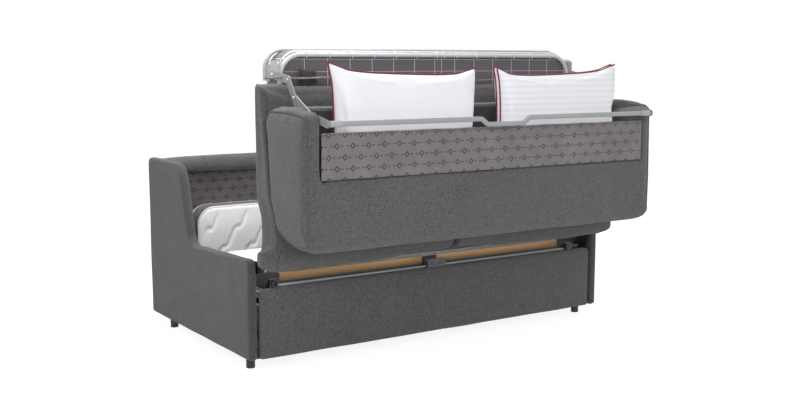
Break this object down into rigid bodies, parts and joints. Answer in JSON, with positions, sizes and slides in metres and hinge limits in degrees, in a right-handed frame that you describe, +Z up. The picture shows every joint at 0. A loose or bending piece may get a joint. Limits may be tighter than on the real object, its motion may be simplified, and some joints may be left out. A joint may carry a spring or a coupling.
{
  "type": "sofa bed",
  "caption": "Front-folding sofa bed standing half open: slim upholstered arms and back, seat and backrest on edge, mattress sections on net frames, pillows in a rear pocket.",
  "frame": {"origin": "on the floor, under the middle of the box that holds the half-open sofa bed", "axes": "+X along the sofa, towards its right arm as seen from the front, +Y towards its back, +Z up"},
  "size_m": [1.8, 1.451, 1.237],
  "materials": {
    "grey_fabric": "heather dark grey woven upholstery",
    "lining_fabric": null,
    "mattress_fabric": "white quilted ticking with white piping",
    "pillow_fabric": "white cotton with a coloured piping",
    "painted_steel": "light grey satin powder coat",
    "black_steel": "black satin coat",
    "bright_steel": "zinc plated",
    "board_wood": "varnished plywood",
    "base_wood": "plain plywood",
    "black_plastic": "matt"
  },
  "bodies": {
    "base": {"arm_left": "grey_fabric", "arm_right": "grey_fabric", "front_plinth": "grey_fabric", "back_panel": "grey_fabric", "back_roll": "grey_fabric", "back_lining": "lining_fabric", "base_rails": "base_wood", "plinth_batten": "base_wood", "rear_rail": "base_wood", "dust_panel": "base_wood", "feet": "black_plastic", "base_bracket_left": "black_steel", "base_bracket_centre": "painted_steel", "base_bracket_right": "black_steel", "front_rods": "painted_steel", "angle_rail": "black_steel", "pivot_plates": "black_steel", "lift_plates": "black_steel", "head_brackets": "black_steel"},
    "seat_carrier": {"pivot_bushes": "bright_steel"},
    "seat_unit": {"pivot_tube": "black_steel", "seat_cushion_left": "grey_fabric", "seat_cushion_right": "grey_fabric", "seat_board": "base_wood", "seat_end_lining": "lining_fabric", "foot_frame": "painted_steel", "foot_net": "painted_steel", "foot_mattress": "mattress_fabric", "retaining_hoop": "painted_steel", "hoop_plates": "painted_steel", "l_bracket_left": "painted_steel", "l_bracket_right": "painted_steel", "frame_bolts": "bright_steel"},
    "backrest": {"backrest_pad": "grey_fabric", "backrest_board": "base_wood", "backrest_side_left": "grey_fabric", "backrest_side_right": "grey_fabric", "backrest_rear_panel": "grey_fabric", "pocket_lining": "lining_fabric", "pillow_bar": "painted_steel", "bar_sleeves": "black_plastic", "bar_blades": "painted_steel"},
    "pillow_left": {"pillow_left": "pillow_fabric"},
    "pillow_right": {"pillow_right": "pillow_fabric"},
    "lift_root": {"lift_root_bushes": "bright_steel"},
    "lift_arms": {"lift_arms": "painted_steel"},
    "lift_tip": {"lift_tip_bushes": "bright_steel"},
    "middle_section": {"middle_frame": "painted_steel", "middle_net": "painted_steel", "middle_mattress": "mattress_fabric", "front_board_left": "board_wood", "front_board_right": "board_wood"},
    "head_section": {"head_frame": "painted_steel", "head_net": "painted_steel", "head_mattress": "mattress_fabric", "head_hinge_plates": "painted_steel"}
  },
  "joints": [
    {"name": "bed_unfold", "type": "hinge", "parent": "base", "child": "seat_carrier", "pos_m": [0, -0.3145, 0.413], "axis": [1, 0, 0], "range_deg": [0, 90]},
    {"name": "seat_close", "type": "hinge", "parent": "seat_carrier", "child": "seat_unit", "pos_m": [0, -0.3145, 0.413], "axis": [1, 0, 0], "range_deg": [-90, 0]},
    {"name": "backrest_fold", "type": "hinge", "parent": "seat_unit", "child": "backrest", "pos_m": [0, -0.4215, 0.955], "axis": [1, 0, 0], "range_deg": [-90, 0]},
    {"name": "lift_root_turn", "type": "hinge", "parent": "base", "child": "lift_root", "pos_m": [0, -0.2225, 0.20758], "axis": [1, 0, 0], "range_deg": [-27, 0]},
    {"name": "lift_arm_raise", "type": "hinge", "parent": "lift_root", "child": "lift_arms", "pos_m": [0, -0.2225, 0.20758], "axis": [1, 0, 0], "range_deg": [0, 36.5]},
    {"name": "lift_tip_turn", "type": "hinge", "parent": "lift_arms", "child": "lift_tip", "pos_m": [0, 0.17493, 0.25286], "axis": [1, 0, 0], "range_deg": [0, 27]},
    {"name": "middle_keep_level", "type": "hinge", "parent": "lift_tip", "child": "middle_section", "pos_m": [0, 0.17493, 0.25286], "axis": [1, 0, 0], "range_deg": [-36.5, 0]},
    {"name": "head_fold", "type": "hinge", "parent": "base", "child": "head_section", "pos_m": [0, 0.6615, 0.508], "axis": [1, 0, 0], "range_deg": [-90, 0]},
    {"name": "pillow_left_slide", "type": "slide", "parent": "backrest", "child": "pillow_left", "axis": [0, 0, 1], "range_m": [-0.085, 0]},
    {"name": "pillow_right_slide", "type": "slide", "parent": "backrest", "child": "pillow_right", "axis": [0, 0, 1], "range_m": [-0.085, 0]}
  ],
  "couplings": [
    {"joint": "lift_root_turn", "follows": "seat_close", "ratio": 0.3},
    {"joint": "lift_tip_turn", "follows": "seat_close", "ratio": -0.3},
    {"joint": "lift_arm_raise", "follows": "bed_unfold", "ratio": 0.40556},
    {"joint": "middle_keep_level", "follows": "bed_unfold", "ratio": -0.40556},
    {"joint": "head_fold", "follows": "bed_unfold", "ratio": -1},
    {"joint": "pillow_left_slide", "follows": "backrest_fold", "m_per_rad": 0.0541},
    {"joint": "pillow_right_slide", "follows": "backrest_fold", "m_per_rad": 0.0541}
  ]
}
